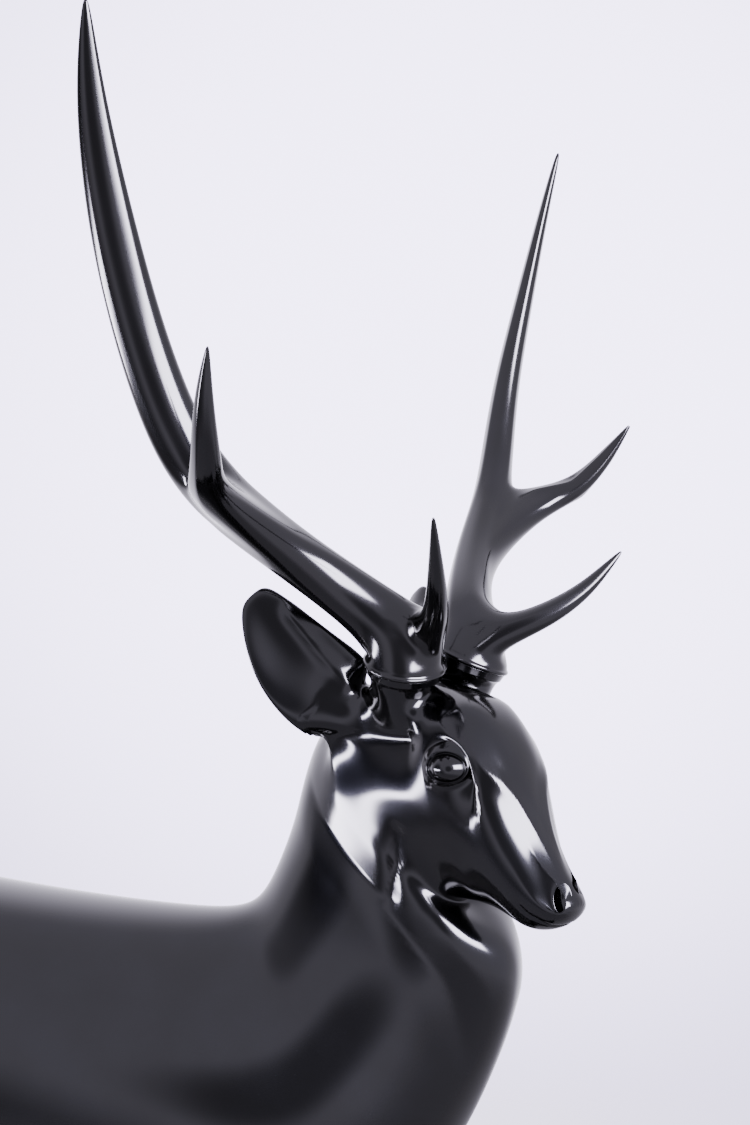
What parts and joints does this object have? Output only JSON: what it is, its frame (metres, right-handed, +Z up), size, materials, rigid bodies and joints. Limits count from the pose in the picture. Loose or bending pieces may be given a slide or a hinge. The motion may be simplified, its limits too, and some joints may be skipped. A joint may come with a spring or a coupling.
{
  "type": "standing stag statue",
  "caption": "Life-size stag in dark polished bronze, head turned to its right, with forked antlers joined at ringed seats, standing on a low slab base.",
  "frame": {"origin": "centre of the base's flat underside", "axes": "+X the way the body faces, +Y the stag's left, +Z up"},
  "size_m": [1.1927, 0.6884, 1.9503],
  "materials": {
    "body_bronze": "near-black patinated bronze, waxed and polished to a mirror gloss with faint cloudy mottling",
    "antler_bronze": "near-black patinated bronze, polished to a mirror gloss",
    "base_bronze": "near-black patinated bronze, satin"
  },
  "bodies": {
    "root": {"stag_body": "body_bronze", "right_antler": "antler_bronze", "left_antler": "antler_bronze", "base": "base_bronze"}
  },
  "joints": []
}
